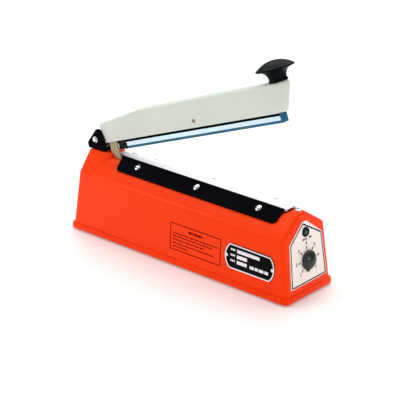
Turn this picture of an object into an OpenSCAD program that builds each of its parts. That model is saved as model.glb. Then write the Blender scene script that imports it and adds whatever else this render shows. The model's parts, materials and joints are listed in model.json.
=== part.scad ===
// Impulse heat sealer for 200 mm wide bags. Millimetres, +Z up.
// The origin is on the table, under the middle of the base. +X points to the control end.
// The arm is hinged at the -X end and stands open. Its own parts are drawn in the arm's
// frame: x along the arm from the hinge pin, y across, z square to the arm.

/* [Housing] */
// Length of the base flange
body_len = 310; // [306:1:316]
// Width of the base flange
body_w = 80; // [78:1:84]
// Height of the base flange
flange_h = 6.3; // [5.5:0.1:7]
// Wall thickness of the moulded shell
wall = 2.6; // [2.2:0.1:3]
// Height of the crease between wall and roof, from the table
crease_z = 70.7; // [70:0.1:71.5]
// Half width between the two creases
crease_y = 34.7; // [34:0.1:35]
// Height of the roof ridge, from the table
ridge_z = 91.1; // [91:0.1:91.5]
// Height of the rubber feet below the flange
foot_h = 2; // [1.5:0.1:3]

/* [Sealing platform] */
// Height of the sealing surface, from the table
platform_z = 91; // [90.8:0.1:91.2]
// Half width of the platform bar
bar_half_w = 5.2; // [4.8:0.1:5.3]
// Length of the clamp strips
strip_len = 226.4; // [224:0.1:230]
// Width of the clamp strips, measured down the slope
strip_w = 20; // [18:0.5:21]
// Distance between clamp strip screws
screw_pitch = 85; // [82:1:87]

/* [Arm] */
// Angle at which the arm stands open
arm_open = 21.1; // [20:0.1:22]
// Distance of the hinge pin from the middle of the base
pin_back = 140.4; // [140:0.1:141]
// Height of the hinge pin axis, from the table
pin_z = 102; // [101.5:0.1:102.5]
// Half width of the arm moulding
arm_half_w = 8.5; // [8.3:0.1:8.7]
// Height of the arm's top above the hinge axis, at its outer end
arm_top = 24.8; // [24:0.1:25.5]
// Depth of the arm's lower edge below the hinge axis
arm_low = 6.2; // [6:0.1:6.4]
// Distance from the hinge axis to the pivot of the seal bar
pivot_u = 153.2; // [150:0.1:156]
// Depth of the silicone face below the hinge axis
seal_low = 17.1; // [17:0.1:17.2]

/* [Controls] */
// Radius of the timer knob
knob_r = 10.8; // [10:0.2:11.4]
// Height of the dial centre, from the table
dial_z = 39.5; // [38:0.5:41]
// Height of the indicator lamp, from the table
lamp_z = 69.9; // [69:0.1:71]

/* [Handle] */
// Radius of the handle's cap
cap_r = 20.5; // [18:0.5:22]
// Height of the cap's rim above the arm
cap_rim_h = 14; // [12:0.5:16]

/* [Hidden] */
$fn = 48;
hull_fn = 32;
flange_z = foot_h + flange_h;
half_len = body_len / 2;
wall_half_w = body_w / 2 - 2;
end_inset = 1.94;
end_slope = 0.124;
lean = atan(end_slope);
corner_r = 6;
edge_r = 5;
ridge_half = 4;
draft = atan((wall_half_w - crease_y) / (crease_z - flange_z));
slope = atan((ridge_z - crease_z) / (crease_y - ridge_half));
// End face's distance from the middle at a height, and the wall's
function end_x(z) = half_len - end_inset - end_slope * (z - flange_z);
function wall_y(z) = wall_half_w - (z - flange_z) * tan(draft);
// Distance up the end face from the flange to a height
function up_face(z) = (z - flange_z) / cos(lean);

// Roof: floor of the cut for the platform, deck under the hinge, where the cut starts and ends
cut_z = 86;
deck_z = 90.3;
deck_end = 148;
deck_half_w = 15.6;
step_x = 117;
cut_x = 125;
ramp_x = 132.5;
void_top = 83.2;
void_half_w = 9;

// Platform and strips
strip_mid = 11;
strip_t = 2.2;
strip_thick = 1.5;
strip_gap = 0.35;
screw_t = strip_t + 8.6;
cloth = 0.2;
bar_x0 = -103.3;
bar_tail_x = -111;
slot_x0 = -127;
slot_x1 = -102.5;
bar_x1 = 125;
bar_top = platform_z - 0.75;

// Bottom
plate_t = 1.2;
plate_z = foot_h + 0.4;
plate_top = plate_z + plate_t;
boss_x = 138;
boss_y = 30.2;
boss_top = 18;

// Arm, in its own frame
arm_wall = 1.8;
arm_left = 8;
arm_end_low = 276;
arm_end_top = 287.5;
kink_u = 75;
kink_top = 23.6;
heel_top = 16.4;
pin_r = 2.5;
lug_r = 6.4;
running = 0.05;
pivot_w = 1.1;
pivot_r = 2.2;
bar_u0 = 40.2;
bar_u1 = 269.2;
bar_half = 4.8;
carrier_half = 3.6;
channel_top = -9.4;
silicone_t = 3.4;
tab_y = -6.5;
tab_screw_u = 20.5;
handle_u = 276;

// Spring round the hinge pin
coil_r = 6.2;
wire_r = 0.8;
coil_pitch = 1.75;
coil_from = 250;
leg_rise = 14.6;
coil_sweep = 1800 + coil_from - 90 - arm_open - leg_rise;
coil_half = coil_pitch * coil_sweep / 720;

// Controls, measured outwards from the end face
panel_t = 1.2;
shaft_r = 3;
bush_r = 3.5;
knob_h = 7.2;
knob_gap = 1.4;
face_gap = 0.03;

// Hinge bracket
ear_in = 8.9;
ear_t = 2.5;
bracket_t = 2.5;
bracket_x0 = -151;
bracket_x1 = -127.3;
bracket_screw_x = [-144.5, -134];
ridge_screw_x = 136.8;
bush_len = 7.07;

// Switch
lever_x = -128.5;
lever_z = 71.2;
lever_y0 = -8;
lever_w = 4.2;
switch_y0 = -9.2;
switch_w = 6.6;
switch_top = 66.8;

// Name plate
name_x = 103.6;
name_z = 35.3;
name_w = 66;
name_h = 28;

// Inside
core_x = -20;
board_x = 85;
board_z = 14;

// ---- Frames ----

// On the control end face: local x down the face, y across, z outwards
module on_end_face(z, y = 0) {
    translate([end_x(z), y, z]) rotate([0, 90 - lean, 0]) children();
}

// On the hinge end face, as seen from outside
module on_hinge_face(z, y = 0) {
    mirror([1, 0, 0]) on_end_face(z, y) children();
}

// On the near wall: local x along the body, y up the wall, z outwards
module on_wall(x, z) {
    translate([x, -wall_y(z), z]) rotate([90 - draft, 0, 0]) children();
}

// On the near roof slope: local x along the body, y up the slope, z outwards.
// t is the distance down the slope from the ridge's edge.
module on_slope(x, t) {
    translate([x, -ridge_half, ridge_z]) rotate([slope, 0, 0]) translate([0, -t, 0]) children();
}

module in_arm() {
    translate([-pin_back, 0, pin_z]) rotate([0, -arm_open, 0]) children();
}

module both_sides() {
    children();
    mirror([0, 1, 0]) children();
}

module both_ends() {
    children();
    mirror([1, 0, 0]) children();
}

module four_corners() {
    both_ends() both_sides() children();
}

// A cylinder along Y, centred on y
module across(r, y0, y1) {
    translate([0, y1, 0]) rotate([90, 0, 0]) cylinder(r = r, h = y1 - y0);
}

module block(x0, x1, y0, y1, z0, z1) {
    translate([x0, y0, z0]) cube([x1 - x0, y1 - y0, z1 - z0]);
}

// A pan-head screw standing on z = 0, its shank below
module pan_screw(head_r, head_h, shank_r, shank_len) {
    difference() {
        intersection() {
            cylinder(r = head_r, h = head_h);
            translate([0, 0, head_h - head_r * 1.7]) sphere(r = head_r * 1.7);
        }
        for (a = [0, 90]) rotate([0, 0, a])
            translate([-head_r * 0.6, -head_r * 0.12, head_h * 0.45])
                cube([head_r * 1.2, head_r * 0.24, head_h]);
    }
    translate([0, 0, -shank_len]) cylinder(r = shank_r, h = shank_len);
}

module rounded_plate(half_x, half_y, r, t) {
    linear_extrude(t) {
        square([2 * (half_x - r), 2 * half_y], center = true);
        square([2 * half_x, 2 * (half_y - r)], center = true);
        for (sx = [-1, 1], sy = [-1, 1])
            translate([sx * (half_x - r), sy * (half_y - r)]) circle(r = r);
    }
}

// ---- Housing ----

// Centre of a ball that rounds the crease, set in so that it touches wall and roof
wall_n = [cos(draft), sin(draft)];
roof_n = [sin(slope), cos(slope)];
det = wall_n[0] * roof_n[1] - wall_n[1] * roof_n[0];
crease_in = [(roof_n[1] - wall_n[1]) / det, (wall_n[0] - roof_n[0]) / det];
crease_cy = crease_y - edge_r * crease_in[0];
crease_cz = crease_z - edge_r * crease_in[1];
ridge_r = 2.5;
ridge_cz = ridge_z - ridge_r;
ridge_cy = ridge_half + (ridge_r * roof_n[1] - ridge_r) / roof_n[0];

module crease_ball(inset) {
    translate([end_x(crease_cz) - edge_r / cos(lean), crease_cy, crease_cz])
        sphere(r = edge_r - inset, $fn = hull_fn);
}

module housing_outside() {
    hull() four_corners() {
        translate([end_x(flange_z) - corner_r, wall_half_w - corner_r, flange_z - 1])
            cylinder(r = corner_r, h = 1, $fn = hull_fn);
        crease_ball(0);
        translate([end_x(ridge_cz) - ridge_r / cos(lean), ridge_cy, ridge_cz])
            sphere(r = ridge_r, $fn = hull_fn);
    }
}

module housing_void() {
    low = flange_z - 1;
    hull() four_corners() {
        translate([end_x(low) - corner_r, wall_half_w - corner_r, low])
            cylinder(r = corner_r - wall, h = 1, $fn = hull_fn);
        crease_ball(wall);
        translate([end_x(void_top) - wall - 4, void_half_w - 1.5, void_top - 1.5])
            sphere(r = 1.5, $fn = hull_fn);
    }
    translate([0, 0, -1]) rounded_plate(end_x(low) - wall, wall_half_w - wall, corner_r - wall,
        low + 2);
}

// Raised deck under the hinge bracket. It blends into the slopes and ends in a step.
module hinge_deck() {
    r = 2.5;
    step_r = 1;
    hull() both_sides() {
        translate([-deck_end + r, deck_half_w - r * 1.4, deck_z - r]) sphere(r, $fn = hull_fn);
        translate([-step_x - step_r, 10, deck_z - step_r]) sphere(step_r, $fn = hull_fn);
        mirror([1, 0, 0]) crease_ball(0);
        translate([-step_x - step_r, 19.3, 78.6]) sphere(step_r, $fn = hull_fn);
    }
}

module flange() {
    r = 1.8;
    hull() four_corners() {
        translate([half_len - corner_r, body_w / 2 - corner_r, foot_h])
            cylinder(r = corner_r, h = flange_h - r, $fn = hull_fn);
        translate([half_len - corner_r, body_w / 2 - corner_r, flange_z - r])
            cylinder(r = corner_r - r * 0.3, h = r * 0.7, $fn = hull_fn);
        translate([half_len - corner_r, body_w / 2 - corner_r, flange_z - r])
            cylinder(r = corner_r - r, h = r, $fn = hull_fn);
    }
}

// The roof is cut level for the platform, and ramps up to the ridge at the control end
module roof_cut() {
    rotate([90, 0, 0]) translate([0, 0, -30]) linear_extrude(60) polygon([
        [-160, deck_z], [-step_x - 1, deck_z], [-step_x - 1, cut_z], [cut_x, cut_z],
        [ramp_x, ridge_z + 0.1], [ramp_x, ridge_z + 6], [-160, ridge_z + 6]]);
}

module strip_screw_places() {
    for (i = [-1 : 1]) on_slope(strip_mid + i * screw_pitch, screw_t) children();
}

module housing() {
    color("orangered") difference() {
        union() {
            difference() {
                union() {
                    difference() {
                        housing_outside();
                        roof_cut();
                    }
                    hinge_deck();
                    flange();
                }
                housing_void();
                // recess that holds the bottom plate
                translate([0, 0, foot_h - 1]) rounded_plate(half_len - 2.6, body_w / 2 - 2.6, 4,
                    plate_top + 0.2 - foot_h + 1);
            }
            both_sides() strip_screw_places() translate([0, 0, -9]) cylinder(r = 3.5, h = 8);
            // bosses for the bottom screws, each with a rib to the wall
            four_corners() translate([boss_x, boss_y, plate_top + 0.2]) {
                cylinder(r = 4, h = boss_top - plate_top - 0.2);
                block(-1.2, 1.2, 0, wall_half_w - boss_y - 1.2, 0, boss_top - plate_top - 0.2);
            }
            // shelf under the bracket screws
            block(-138, -113, -void_half_w, void_half_w, void_top - 2, void_top + 1);
        }
        both_sides() strip_screw_places() translate([0, 0, -8]) cylinder(r = 1.4, h = 12);
        four_corners() translate([boss_x, boss_y, 0]) cylinder(r = 1.4, h = boss_top - 2);
        on_end_face(dial_z) translate([0, 0, -8]) cylinder(r = bush_r + 0.2, h = 12);
        on_end_face(lamp_z) translate([0, 0, -8]) cylinder(r = 4.1, h = 12);
        on_hinge_face(22, -16) translate([0, 0, -8]) cylinder(r = 6.1, h = 12);
        on_hinge_face(24, 16) translate([0, 0, -8]) cylinder(r = 6.1, h = 12);
        // slot for the switch tab
        block(slot_x0, slot_x1, tab_y - 0.6, tab_y + 2.8, void_top - 10, ridge_z + 5);
        for (x = bracket_screw_x) translate([x, 0, deck_z - 6.2]) cylinder(r = 1.4, h = 10);
        translate([ridge_screw_x, 0, void_top - 3]) cylinder(r = 1.4, h = 12);
        for (x = platform_screw_x) translate([x, 0, void_top - 3]) cylinder(r = 1.7, h = 10);
        for (x = electrode_x) translate([x, 0, void_top - 3]) cylinder(r = 2.2, h = 10);
        for (s = [-1, 1]) on_wall(name_x + s * 30.6, name_z) translate([0, 0, -2])
            cylinder(r = 1.25, h = 4);
        for (x = [-127, -119]) translate([x, 7, void_top - 3]) cylinder(r = 1.2, h = 6);
    }
}

module bottom_plate() {
    color("silver") translate([0, 0, plate_z]) difference() {
        rounded_plate(half_len - 3, body_w / 2 - 3, 3.6, plate_t);
        four_corners() translate([boss_x, boss_y, -1]) cylinder(r = 1.7, h = 4);
        for (i = [-4 : 4]) translate([core_x + 52 + i * 3.6, 0, -1])
            rounded_plate(0.9, 11, 0.85, 4);
        for (s = [-1, 1]) translate([core_x + s * 29.5, 0, -1]) cylinder(r = 1.7, h = 4);
        for (sx = [-1, 1], sy = [-1, 1]) translate([board_x + sx * 28, sy * 19, -1])
            cylinder(r = 1.6, h = 4);
    }
}

module rubber_feet() {
    color("dimgray") four_corners() translate([boss_x, boss_y, 0]) difference() {
        rotate_extrude() polygon([[0, plate_z], [6.6, plate_z], [6.6, 1], [6, 0], [0, 0]]);
        translate([0, 0, -1]) cylinder(r = 1.7, h = 6);
        translate([0, 0, -1]) cylinder(r = 3.6, h = 2.2);
    }
}

module bottom_screws() {
    color("gainsboro") four_corners() translate([boss_x, boss_y, 1.2]) mirror([0, 0, 1])
        pan_screw(2.8, 1, 1.35, 12);
}

// ---- Control end ----

panel_low = 15;
panel_half_w = 29.4;
panel_shoulder_z = 62.8;
panel_shoulder_w = 26.7;
panel_top_z = 81.2;
panel_top_w = 3;

module control_panel() {
    function at(z, y) = [up_face(panel_low) - up_face(z), y];
    color("mistyrose") on_end_face(panel_low) difference() {
        translate([0, 0, face_gap]) linear_extrude(panel_t - face_gap) polygon([
            at(panel_low, -panel_half_w), at(panel_shoulder_z, -panel_shoulder_w),
            at(panel_top_z, -panel_top_w), at(panel_top_z, panel_top_w),
            at(panel_shoulder_z, panel_shoulder_w), at(panel_low, panel_half_w)]);
        translate([up_face(panel_low) - up_face(dial_z), 0, -1])
            cylinder(r = bush_r + 0.2, h = 4);
        translate([up_face(panel_low) - up_face(lamp_z), 0, -1]) cylinder(r = 4.1, h = 4);
    }
}

module lamp_bezel() {
    color("black") on_end_face(lamp_z) difference() {
        union() {
            rotate_extrude() polygon([[0, panel_t], [5.3, panel_t], [5.3, panel_t + 1],
                [4.5, panel_t + 1.9], [0, panel_t + 1.9]]);
            translate([0, 0, -14]) cylinder(r = 4, h = 14 + panel_t);
        }
        translate([0, 0, -3]) cylinder(r = 3.3, h = 8);
    }
}

module lamp_lens() {
    color("darkgreen") on_end_face(lamp_z) intersection() {
        translate([0, 0, -2.9]) cylinder(r = 3.2, h = 6);
        translate([0, 0, -1.8]) sphere(r = 5);
    }
}

module potentiometer() {
    color("slategray") on_end_face(dial_z) difference() {
        union() {
            translate([0, 0, -wall - 9.4]) cylinder(r = 8, h = 9);
            translate([0, 0, -wall - 1]) cylinder(r = bush_r, h = wall + panel_t + 3);
            block(7, 13, -4, 4, -wall - 7, -wall - 6);
        }
        translate([0, 0, -wall - 3]) cylinder(r = shaft_r + running, h = 12);
    }
}

module potentiometer_nut() {
    color("silver") on_end_face(dial_z) translate([0, 0, panel_t + 0.1]) difference() {
        cylinder(r = 5.6, h = 1.8, $fn = 6);
        translate([0, 0, -1]) cylinder(r = bush_r + 0.05, h = 4);
    }
}

module potentiometer_shaft() {
    color("silver") on_end_face(dial_z) translate([0, 0, -wall - 2.8])
        cylinder(r = shaft_r, h = wall + 2.8 + panel_t + 5.8);
}

// Domed knob with a small index nib on its skirt
module timer_knob() {
    base = panel_t + knob_gap;
    skirt = 1.5;
    dome_h = knob_h - skirt;
    dome_r = (knob_r * knob_r + dome_h * dome_h) / (2 * dome_h);
    color("black") on_end_face(dial_z) difference() {
        union() {
            translate([0, 0, base]) intersection() {
                cylinder(r = knob_r, h = knob_h);
                translate([0, 0, knob_h - dome_r]) sphere(r = dome_r);
            }
            rotate([0, 0, -15]) block(knob_r - 2, knob_r + 1.8, -1.6, 1.6, base, base + 2.2);
        }
        translate([0, 0, base - 1]) cylinder(r = 7, h = 3);
        translate([0, 0, base - 1]) cylinder(r = shaft_r + 0.02, h = knob_h - 0.3);
    }
}

// ---- Name plate ----

// Rectangle with bowed ends
module name_outline(inset) {
    bow = 18.3;
    intersection() {
        square([name_w - 2 * inset, name_h - 2 * inset], center = true);
        union() {
            for (s = [-1, 1]) translate([s * (name_w / 2 - bow), 0]) circle(r = bow - inset);
            square([name_w - 2 * bow, name_h], center = true);
        }
    }
}

module name_plate() {
    color("black") on_wall(name_x, name_z) difference() {
        linear_extrude(0.9) name_outline(0);
        translate([0, 0, 0.6]) linear_extrude(1) name_outline(1.6);
        for (s = [-1, 1]) translate([s * 30.6, 0, -1]) cylinder(r = 1.25, h = 4);
    }
}

module name_plate_rivets() {
    color("white") for (s = [-1, 1]) on_wall(name_x + s * 30.6, name_z) {
        translate([0, 0, -1.8]) cylinder(r = 1.2, h = 3);
        intersection() {
            translate([0, 0, 0.95]) cylinder(r = 1.9, h = 2);
            translate([0, 0, -0.8]) sphere(r = 2.8);
        }
    }
}

// ---- Hinge ----

// Side view of an ear, pin axis at the origin
module ear_outline() {
    foot = deck_z - pin_z + 0.1;
    polygon([[-10.6, foot], [-11.8, -7.6], [-11.6, -5.2], [-1.2, 9.6], [8.1, 9.4], [12.2, 3],
        [13.1, -4.6], [13.1, foot]]);
    translate([3.4, 7.9]) circle(r = 4.9);
}

module hinge_bracket() {
    color("black") difference() {
        union() {
            both_sides() translate([-pin_back, -ear_in, pin_z]) rotate([90, 0, 0])
                linear_extrude(ear_t) ear_outline();
            block(bracket_x0, bracket_x1, -ear_in - 1, ear_in + 1, deck_z + 0.1,
                deck_z + bracket_t);
            // rear web: the heel of the arm rests on it when the arm stands open
            block(bracket_x0, bracket_x0 + 2.4, -ear_in - 1, ear_in + 1, deck_z + 0.1,
                pin_z - 4.4);
        }
        translate([-pin_back, 0, pin_z]) across(pin_r, -20, 20);
        for (x = bracket_screw_x) translate([x, 0, deck_z - 1]) cylinder(r = 1.7, h = 8);
    }
}

module roof_screws() {
    color("silver") {
        for (x = bracket_screw_x) translate([x, 0, deck_z + bracket_t + 0.05])
            pan_screw(2.8, 1.3, 1.35, 8);
        translate([ridge_screw_x, 0, ridge_z + 0.05]) pan_screw(3.2, 2.2, 1.35, 8);
    }
}

module hinge_pin() {
    y1 = ear_in + ear_t;
    color("silver") translate([-pin_back, 0, pin_z]) difference() {
        union() {
            across(pin_r - 0.02, -y1 - 1.6, y1 + 1.6);
            translate([0, -y1 - 1.6, 0]) rotate([90, 0, 0])
                cylinder(r1 = pin_r - 0.02, r2 = pin_r - 0.6, h = 0.5);
        }
        both_sides() translate([0, -y1 - 0.3, 0]) rotate([90, 0, 0]) difference() {
            cylinder(r = pin_r + 1, h = 0.7);
            translate([0, 0, -1]) cylinder(r = pin_r - 0.5, h = 3);
        }
    }
}

module pin_retaining_rings() {
    y1 = ear_in + ear_t;
    color("silver") both_sides() translate([-pin_back, -y1 - 0.35, pin_z]) rotate([90, 0, 0])
        difference() {
            cylinder(r = 3.7, h = 0.6);
            translate([0, 0, -1]) cylinder(r = pin_r - 0.48, h = 3);
            translate([0, -3, -1]) block(-1.2, 1.2, -3, 3, 0, 3);
        }
}

// Swept round wire: rings of a closed tube along a list of points with their frames
module swept_wire(points, r, sides) {
    n = len(points);
    function way(i) = let (d = points[min(i + 1, n - 1)] - points[max(i - 1, 0)]) d / norm(d);
    function side_of(t) = let (c = cross(t, [0, 1, 0])) norm(c) > 0.1 ? c / norm(c) : [1, 0, 0];
    ring = [for (i = [0 : n - 1]) let (t = way(i), a = side_of(t), b = cross(t, a))
        for (k = [0 : sides - 1]) points[i] + r * (cos(360 * k / sides) * a
            + sin(360 * k / sides) * b)];
    walls = [for (i = [0 : n - 2], k = [0 : sides - 1])
        [i * sides + k, i * sides + (k + 1) % sides, (i + 1) * sides + (k + 1) % sides,
            (i + 1) * sides + k]];
    polyhedron(points = ring, faces = concat([[for (k = [sides - 1 : -1 : 0]) k]], walls,
        [[for (k = [0 : sides - 1]) (n - 1) * sides + k]]));
}

// Coils round the pin, with one leg that runs forward along the bracket
module torsion_spring() {
    steps = 108;
    coil = [for (i = [0 : steps]) let (a = coil_from - coil_sweep * i / steps)
        [coil_r * cos(a), -coil_half + 2 * coil_half * i / steps, coil_r * sin(a)]];
    leg = [for (s = [13, 7, 3.5]) coil[0] + [s * -sin(coil_from), 0,
        max(s * cos(coil_from), wire_r + 0.1 + deck_z + bracket_t - pin_z - coil[0][2])]];
    color("dimgray") translate([-pin_back, 0, pin_z])
        swept_wire(concat(leg, coil), wire_r, 8);
}

// The spring's other leg, which lies under the roof of the arm and turns with it
module spring_arm_leg() {
    color("dimgray") in_arm() rotate([0, -leg_rise, 0]) translate([0.4, coil_half, coil_r])
        rotate([0, 90, 0]) cylinder(r = wire_r, h = 38);
}

// ---- Platform ----

platform_screw_x = [-60, 12, 84];
electrode_x = [-93, 119.5];

module platform_bar() {
    color("tan") difference() {
        union() {
            block(bar_x0, bar_x1, -bar_half_w, bar_half_w, cut_z + 0.05, bar_top);
            // the inner end is narrower, to pass beside the switch tab
            block(bar_tail_x, bar_x0 + 1, tab_y + 3.2, bar_half_w, cut_z + 0.05, bar_top);
        }
        for (x = platform_screw_x) translate([x, 0, cut_z - 1]) cylinder(r = 1.4, h = 4.2);
        // pockets that hold the electrodes
        for (x = electrode_x) block(x - 4.2, x + 4.2, -3.7, 3.7, cut_z - 1, bar_top + 1);
    }
}

module platform_screws() {
    color("silver") for (x = platform_screw_x) translate([x, 0, void_top - 0.05])
        mirror([0, 0, 1]) pan_screw(2.8, 1.6, 1.35, 5.6);
}

module electrode_insulators() {
    color("saddlebrown") for (x = electrode_x) difference() {
        block(x - 4, x + 4, -3.5, 3.5, cut_z + 0.05, cut_z + 0.9);
        translate([x, 0, cut_z - 1]) cylinder(r = 1.8, h = 4);
    }
}

module electrodes() {
    color("gold") for (x = electrode_x) difference() {
        block(x - 4, x + 4, -3.5, 3.5, cut_z + 0.95, bar_top - 0.05);
        translate([x, 0, cut_z - 1]) cylinder(r = 1.6, h = 10);
    }
}

// Studs that hold the electrodes down and carry the leads from below
module electrode_screws() {
    color("silver") for (x = electrode_x) translate([x, 0, void_top - 4]) {
        cylinder(r = 1.5, h = bar_top - void_top + 3.8);
        translate([0, 0, 1.2]) cylinder(r = 3, h = 2.4, $fn = 6);
    }
}

module insulation_tape() {
    color("tan") block(electrode_x[0] + 4.6, electrode_x[1] - 4.6, -4.6, 4.6, bar_top + 0.02,
        bar_top + 0.2);
}

module heating_element() {
    color("lightgray") block(electrode_x[0] - 3.6, electrode_x[1] + 3.6, -1.5, 1.5,
        bar_top + 0.22, bar_top + 0.42);
}

// Coated cloth over the element: level on top, down the bar's sides, then down the slopes.
// It is cut away beside the switch tab, and one corner lies on the floor of the roof's cut.
module nonstick_cloth() {
    x0 = bar_x0 - 0.1;
    x1 = bar_x1 + 1.8;
    flap_x0 = strip_mid - strip_len / 2 + 4;
    flap_x1 = strip_mid + strip_len / 2 - 2;
    tail_x = bar_tail_x - 0.2;
    side = bar_half_w + 0.15;
    top = platform_z;
    floor_top = cut_z + 0.05 + cloth;
    color("white") difference() {
        union() {
            block(x0, x1, -side - cloth, side + cloth, top - cloth, top);
            block(tail_x, x0 + cloth, tab_y + 3, side + cloth, top - cloth, top);
            block(tail_x, x0 + cloth, side, side + cloth, cut_z + 0.05, top);
            block(tail_x, x0 + cloth, side, 11, cut_z + 0.05, floor_top);
            both_sides() {
                block(x0, x1, -side - cloth, -side, top - 2.2, top);
                difference() {
                    on_slope(0, 16) translate([flap_x0, 0, 0.08])
                        cube([flap_x1 - flap_x0, 14.8, cloth]);
                    block(x0, x1, -side, side, 80, 95);
                }
            }
        }
        both_sides() strip_screw_places() translate([0, 0, -1]) cylinder(r = 1.7, h = 4);
    }
}

// Pressed strip. Its lower corners are rounded, and the hinge end is cut at a slant.
// lip is the height of the line raised along its upper edge.
module clamp_strip(lip) {
    r = 5;
    cut = 3.5;
    slant = atan(cut / strip_w);
    half = strip_len / 2;
    arc_x = (strip_w - r) / strip_w * cut + r / cos(slant) - half;
    function corner(x, from, to) = [for (i = [0 : 8]) let (a = from + (to - from) * i / 8)
        [x + r * cos(a), r + r * sin(a)]];
    on_slope(strip_mid, strip_t + strip_w) translate([0, 0, strip_gap]) difference() {
        union() {
            linear_extrude(strip_thick) polygon(concat([[-half, strip_w], [half, strip_w]],
                corner(half - r, 0, -90), corner(arc_x, -90, slant - 180)));
            if (lip > 0) translate([0.6 - half, strip_w - 2.6, strip_thick / 2])
                cube([strip_len - 0.6, 2.6, strip_thick / 2 + lip]);
        }
        for (i = [-1 : 1]) translate([i * screw_pitch, strip_w - screw_t + strip_t, -1])
            cylinder(r = 1.7, h = 4);
    }
}

module clamp_strip_front() {
    color("black") clamp_strip(0.3);
}

module clamp_strip_rear() {
    color("silver") mirror([0, 1, 0]) clamp_strip(0);
}

module clamp_screws() {
    strip_screw_places() translate([0, 0, strip_gap + strip_thick + 0.05])
        pan_screw(3.6, 1.9, 1.35, 7);
}

module clamp_screws_front() {
    color("white") clamp_screws();
}

module clamp_screws_rear() {
    color("white") mirror([0, 1, 0]) clamp_screws();
}

// ---- Inside ----

core_w = 48;
core_h = 40;
core_d = 26;
leg_w = 16;
window_w = 8;
window_h = 24;
core_z = plate_top + 2;

module transformer_core() {
    color("dimgray") translate([core_x, 0, core_z]) difference() {
        block(-core_w / 2, core_w / 2, -core_d / 2, core_d / 2, 0, core_h);
        for (s = [-1, 1]) translate([s * (leg_w + window_w) / 2, 0, core_h / 2])
            cube([window_w, core_d + 2, window_h], center = true);
    }
}

module transformer_bobbin() {
    out_x = leg_w / 2 + window_w - 0.4;
    out_y = core_d / 2 + window_w;
    h = window_h - 0.6;
    color("ivory") translate([core_x, 0, core_z + core_h / 2]) difference() {
        union() {
            cube([leg_w + 2.4, core_d + 2.4, h], center = true);
            for (s = [-1, 1]) translate([0, 0, s * (h / 2 - 0.6)])
                cube([2 * out_x, 2 * out_y, 1.2], center = true);
        }
        cube([leg_w + 0.4, core_d + 0.4, h + 2], center = true);
    }
}

module transformer_winding() {
    color("sienna") translate([core_x, 0, core_z + core_h / 2]) difference() {
        cube([leg_w + 2 * window_w - 1.6, core_d + 2 * window_w - 1.6, window_h - 3.4],
            center = true);
        cube([leg_w + 2.8, core_d + 2.8, window_h], center = true);
    }
}

module transformer_frame() {
    t = 1.2;
    x = core_w / 2 + 0.3;
    color("silver") translate([core_x, 0, 0]) difference() {
        union() {
            block(-x - t, x + t, -9, 9, core_z + core_h + 0.3, core_z + core_h + 0.3 + t);
            for (s = [-1, 1]) {
                translate([s * (x + t / 2), 0, (plate_top + core_z + core_h) / 2 + 0.2])
                    cube([t, 18, core_h + core_z - plate_top + 0.4], center = true);
                translate([s * (x + 5), 0, plate_top + 0.1 + t / 2]) cube([10, 18, t],
                    center = true);
            }
        }
        for (s = [-1, 1]) translate([s * 29.5, 0, 0]) cylinder(r = 1.7, h = 8);
    }
}

module transformer_screws() {
    color("silver") for (s = [-1, 1]) translate([core_x + s * 29.5, 0, plate_top + 1.4])
        pan_screw(2.8, 1.6, 1.5, 2.5);
}

module timer_board() {
    color("seagreen") translate([board_x, 0, board_z]) difference() {
        rounded_plate(33, 23, 1, 1.6);
        for (sx = [-1, 1], sy = [-1, 1]) translate([sx * 28, sy * 19, -1])
            cylinder(r = 1.7, h = 4);
    }
}

module board_standoffs() {
    color("silver") for (sx = [-1, 1], sy = [-1, 1]) translate([board_x + sx * 28, sy * 19, 0]) {
        translate([0, 0, plate_top + 0.05]) cylinder(r = 3, h = board_z - plate_top - 0.1,
            $fn = 6);
        translate([0, 0, plate_z - 0.3]) cylinder(r = 1.5, h = board_z + 4 - plate_z);
        translate([0, 0, board_z + 1.65]) cylinder(r = 3, h = 1.8, $fn = 6);
    }
}

module board_relay() {
    color("royalblue") block(board_x - 12, board_x + 7, -16, -1, board_z + 1.65, board_z + 17);
}

module board_capacitors() {
    color("midnightblue") for (p = [[-14, 10, 5], [-2, 11, 4], [8, 12, 4]])
        translate([board_x + p[0], p[1], board_z + 1.65]) cylinder(r = p[2], h = 3 * p[2]);
}

module terminal_block() {
    color("whitesmoke") difference() {
        block(-96, -66, -8, 8, plate_top + 0.05, plate_top + 12);
        for (i = [-1 : 1], s = [-1, 1]) translate([-81 + i * 10, s * 4, plate_top + 5])
            cylinder(r = 2, h = 10);
    }
}

module cord_bush() {
    color("black") on_hinge_face(22, -16) difference() {
        union() {
            translate([0, 0, face_gap]) {
                cylinder(r = 8, h = 2);
                cylinder(r1 = 7, r2 = 5.2, h = bush_len - face_gap);
            }
            translate([0, 0, -wall - 4]) cylinder(r = 6, h = wall + 5);
        }
        translate([0, 0, -wall - 8]) cylinder(r = 3.5, h = 20);
    }
}

module fuse_holder() {
    color("black") on_hinge_face(24, 16) difference() {
        union() {
            cylinder(r = 8, h = 1.2);
            translate([0, 0, -26]) cylinder(r = 6, h = 27);
        }
        translate([0, 0, -24]) cylinder(r = 3.4, h = 30);
        translate([0, 0, -3]) cylinder(r = 4.9, h = 6);
    }
}

module fuse_cap() {
    color("black") on_hinge_face(24, 16) difference() {
        union() {
            translate([0, 0, -2.8]) cylinder(r = 4.8, h = 4.2);
            translate([0, 0, 1.3]) cylinder(r1 = 6.4, r2 = 6, h = 2.2);
        }
        block(-4, 4, -0.5, 0.5, 2.6, 5);
    }
}

module fuse() {
    color("lightcyan") on_hinge_face(24, 16) translate([0, 0, -23.6]) cylinder(r = 2.5, h = 20);
}

// ---- Switch ----

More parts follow.
